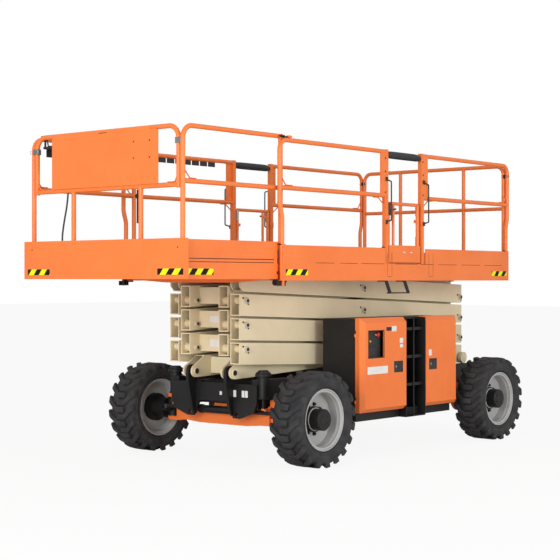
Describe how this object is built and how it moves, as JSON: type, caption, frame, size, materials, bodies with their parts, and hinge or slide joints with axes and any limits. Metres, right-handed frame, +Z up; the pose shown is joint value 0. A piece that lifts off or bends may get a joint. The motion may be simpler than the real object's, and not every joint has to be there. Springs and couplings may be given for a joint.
{
  "type": "rough-terrain scissor lift",
  "caption": "Self-propelled rough-terrain scissor lift with a folding crossed-arm mast, a railed work platform and a roll-out deck extension.",
  "frame": {"origin": "on the ground, at the middle of the machine's overall box", "axes": "+X towards the steered axle and the roll-out deck, +Y to the left, +Z up"},
  "size_m": [5.109, 2.39, 2.9898],
  "materials": {
    "orange_paint": "semi-gloss powder coat",
    "beige_paint": "satin paint",
    "black_paint": "satin paint",
    "rim_paint": "satin paint",
    "engine_paint": "matte paint",
    "rod_chrome": "polished",
    "tyre_rubber": "matte moulded rubber",
    "control_plastic": "moulded",
    "foam_padding": "closed-cell foam skin",
    "cable_rubber": "smooth jacket"
  },
  "bodies": {
    "chassis": {"chassis_frame": "black_paint", "front_axle": "orange_paint", "rear_axle": "orange_paint", "oscillation_cylinders": "black_paint", "steering_cylinder": "black_paint", "engine": "engine_paint", "ground_controls": "control_plastic", "cabinet_left": "black_paint", "cabinet_right": "black_paint"},
    "door_left_front": {"door_left_front": "orange_paint"},
    "door_left_rear": {"door_left_rear": "orange_paint"},
    "knuckle_left": {"knuckle_left": "orange_paint"},
    "door_right_front": {"door_right_front": "orange_paint"},
    "door_right_rear": {"door_right_rear": "orange_paint"},
    "knuckle_right": {"knuckle_right": "orange_paint"},
    "steering_rod": {"steering_rod": "rod_chrome"},
    "wheel_front_left": {"tyre_front_left": "tyre_rubber", "wheel_front_left": "rim_paint"},
    "wheel_front_right": {"tyre_front_right": "tyre_rubber", "wheel_front_right": "rim_paint"},
    "wheel_rear_left": {"tyre_rear_left": "tyre_rubber", "wheel_rear_left": "rim_paint"},
    "wheel_rear_right": {"tyre_rear_right": "tyre_rubber", "wheel_rear_right": "rim_paint"},
    "inner_arms_1": {"inner_arms_1": "beige_paint"},
    "outer_arms_1": {"outer_arms_1": "beige_paint"},
    "inner_arms_2": {"inner_arms_2": "beige_paint"},
    "outer_arms_2": {"outer_arms_2": "beige_paint"},
    "inner_arms_3": {"inner_arms_3": "beige_paint"},
    "outer_arms_3": {"outer_arms_3": "beige_paint"},
    "inner_arms_4": {"inner_arms_4": "beige_paint"},
    "outer_arms_4": {"outer_arms_4": "beige_paint"},
    "lift_barrel_lower": {"lift_barrel_lower": "beige_paint"},
    "lift_rod_lower": {"lift_rod_lower": "rod_chrome"},
    "lift_barrel_upper": {"lift_barrel_upper": "beige_paint"},
    "lift_rod_upper": {"lift_rod_upper": "rod_chrome"},
    "platform": {"platform_deck": "orange_paint", "guardrail_left": "orange_paint", "guardrail_right": "orange_paint", "guardrail_rear": "orange_paint", "header_bars": "foam_padding", "entry_steps": "black_paint", "slide_rollers": "black_paint"},
    "gate_left": {"gate_left": "orange_paint"},
    "gate_right": {"gate_right": "orange_paint"},
    "extension": {"extension_deck": "orange_paint", "extension_guardrail": "orange_paint", "control_shield": "orange_paint", "control_box": "control_plastic", "control_cable": "cable_rubber"}
  },
  "joints": [
    {"name": "mast_lift", "type": "hinge", "parent": "chassis", "child": "inner_arms_1", "pos_m": [1.1745, 0, 0.834], "axis": [0, 1, 0], "range_deg": [0, 53.6]},
    {"name": "mid_pivot_1", "type": "hinge", "parent": "inner_arms_1", "child": "outer_arms_1", "pos_m": [-0.6255, 0, 0.94525], "axis": [0, 1, 0], "range_deg": [-107.4, 0.2]},
    {"name": "front_pivot_1", "type": "hinge", "parent": "outer_arms_1", "child": "inner_arms_2", "pos_m": [1.1745, 0, 1.0565], "axis": [0, 1, 0], "range_deg": [-0.2, 107.4]},
    {"name": "mid_pivot_2", "type": "hinge", "parent": "inner_arms_2", "child": "outer_arms_2", "pos_m": [-0.6255, 0, 1.16775], "axis": [0, 1, 0], "range_deg": [-107.4, 0.2]},
    {"name": "front_pivot_2", "type": "hinge", "parent": "outer_arms_2", "child": "inner_arms_3", "pos_m": [1.1745, 0, 1.279], "axis": [0, 1, 0], "range_deg": [-0.2, 107.4]},
    {"name": "mid_pivot_3", "type": "hinge", "parent": "inner_arms_3", "child": "outer_arms_3", "pos_m": [-0.6255, 0, 1.39025], "axis": [0, 1, 0], "range_deg": [-107.4, 0.2]},
    {"name": "front_pivot_3", "type": "hinge", "parent": "outer_arms_3", "child": "inner_arms_4", "pos_m": [1.1745, 0, 1.5015], "axis": [0, 1, 0], "range_deg": [-0.2, 107.4]},
    {"name": "mid_pivot_4", "type": "hinge", "parent": "inner_arms_4", "child": "outer_arms_4", "pos_m": [-0.6255, 0, 1.61275], "axis": [0, 1, 0], "range_deg": [-107.4, 0.2]},
    {"name": "platform_pivot", "type": "hinge", "parent": "outer_arms_4", "child": "platform", "pos_m": [1.1745, 0, 1.724], "axis": [0, 1, 0], "range_deg": [-0.2, 53.8]},
    {"name": "lift_barrel_lower_pivot", "type": "hinge", "parent": "inner_arms_1", "child": "lift_barrel_lower", "pos_m": [-1.2755, 0, 0.97098], "axis": [0, 1, 0], "range_deg": [-116.11, 0.5]},
    {"name": "lift_rod_lower_slide", "type": "slide", "parent": "lift_barrel_lower", "child": "lift_rod_lower", "axis": [0.9915, 0, 0.1304], "range_m": [-0.002, 0.7775]},
    {"name": "lift_barrel_upper_pivot", "type": "hinge", "parent": "inner_arms_3", "child": "lift_barrel_upper", "pos_m": [-1.2755, 0, 1.41598], "axis": [0, 1, 0], "range_deg": [-116.11, 0.5]},
    {"name": "lift_rod_upper_slide", "type": "slide", "parent": "lift_barrel_upper", "child": "lift_rod_upper", "axis": [0.9915, 0, 0.1304], "range_m": [-0.002, 0.7775]},
    {"name": "deck_extension", "type": "slide", "parent": "platform", "child": "extension", "axis": [1, 0, 0], "range_m": [-1.19, 0]},
    {"name": "gate_left_hinge", "type": "hinge", "parent": "platform", "child": "gate_left", "pos_m": [-0.8295, 0.9575, 1.87], "axis": [0, 0, -1], "range_deg": [0, 90], "stiffness_Nm_per_rad": 6},
    {"name": "gate_right_hinge", "type": "hinge", "parent": "platform", "child": "gate_right", "pos_m": [-0.2895, -0.9575, 1.87], "axis": [0, 0, -1], "range_deg": [0, 90], "stiffness_Nm_per_rad": 6},
    {"name": "door_left_front_hinge", "type": "hinge", "parent": "chassis", "child": "door_left_front", "pos_m": [0.1845, 0.95, 0.88], "axis": [0, 0, -1], "range_deg": [0, 95]},
    {"name": "door_left_rear_hinge", "type": "hinge", "parent": "chassis", "child": "door_left_rear", "pos_m": [-1.4645, 0.95, 0.88], "axis": [0, 0, 1], "range_deg": [0, 95]},
    {"name": "door_right_front_hinge", "type": "hinge", "parent": "chassis", "child": "door_right_front", "pos_m": [0.1845, -0.95, 0.88], "axis": [0, 0, 1], "range_deg": [0, 95]},
    {"name": "door_right_rear_hinge", "type": "hinge", "parent": "chassis", "child": "door_right_rear", "pos_m": [-1.4645, -0.95, 0.88], "axis": [0, 0, -1], "range_deg": [0, 95]},
    {"name": "steering", "type": "hinge", "parent": "chassis", "child": "knuckle_left", "pos_m": [0.9245, 0.72, 0.436], "axis": [0, 0, 1], "range_deg": [-30, 30]},
    {"name": "steering_right", "type": "hinge", "parent": "chassis", "child": "knuckle_right", "pos_m": [0.9245, -0.72, 0.436], "axis": [0, 0, 1], "range_deg": [-30.2, 30.2]},
    {"name": "steering_rod_slide", "type": "slide", "parent": "chassis", "child": "steering_rod", "axis": [0, 1, 0], "range_m": [-0.067, 0.067]},
    {"name": "wheel_front_left_spin", "type": "hinge", "parent": "knuckle_left", "child": "wheel_front_left", "pos_m": [0.9245, 1.03, 0.436], "axis": [0, 1, 0], "continuous": true},
    {"name": "wheel_front_right_spin", "type": "hinge", "parent": "knuckle_right", "child": "wheel_front_right", "pos_m": [0.9245, -1.03, 0.436], "axis": [0, 1, 0], "continuous": true},
    {"name": "wheel_rear_left_spin", "type": "hinge", "parent": "chassis", "child": "wheel_rear_left", "pos_m": [-2.0755, 1.03, 0.436], "axis": [0, 1, 0], "continuous": true},
    {"name": "wheel_rear_right_spin", "type": "hinge", "parent": "chassis", "child": "wheel_rear_right", "pos_m": [-2.0755, -1.03, 0.436], "axis": [0, 1, 0], "continuous": true}
  ],
  "couplings": [
    {"joint": "mid_pivot_1", "follows": "mast_lift", "ratio": -2},
    {"joint": "front_pivot_1", "follows": "mast_lift", "ratio": 2},
    {"joint": "mid_pivot_2", "follows": "mast_lift", "ratio": -2},
    {"joint": "front_pivot_2", "follows": "mast_lift", "ratio": 2},
    {"joint": "mid_pivot_3", "follows": "mast_lift", "ratio": -2},
    {"joint": "front_pivot_3", "follows": "mast_lift", "ratio": 2},
    {"joint": "mid_pivot_4", "follows": "mast_lift", "ratio": -2},
    {"joint": "platform_pivot", "follows": "mast_lift", "ratio": 1},
    {"joint": "lift_barrel_lower_pivot", "follows": "mast_lift", "ratio": -2.1568},
    {"joint": "lift_rod_lower_slide", "follows": "mast_lift", "m_per_rad": 0.82688},
    {"joint": "lift_barrel_upper_pivot", "follows": "mast_lift", "ratio": -2.1568},
    {"joint": "lift_rod_upper_slide", "follows": "mast_lift", "m_per_rad": 0.82688},
    {"joint": "steering_right", "follows": "steering", "ratio": 1},
    {"joint": "steering_rod_slide", "follows": "steering", "m_per_rad": 0.12414}
  ]
}
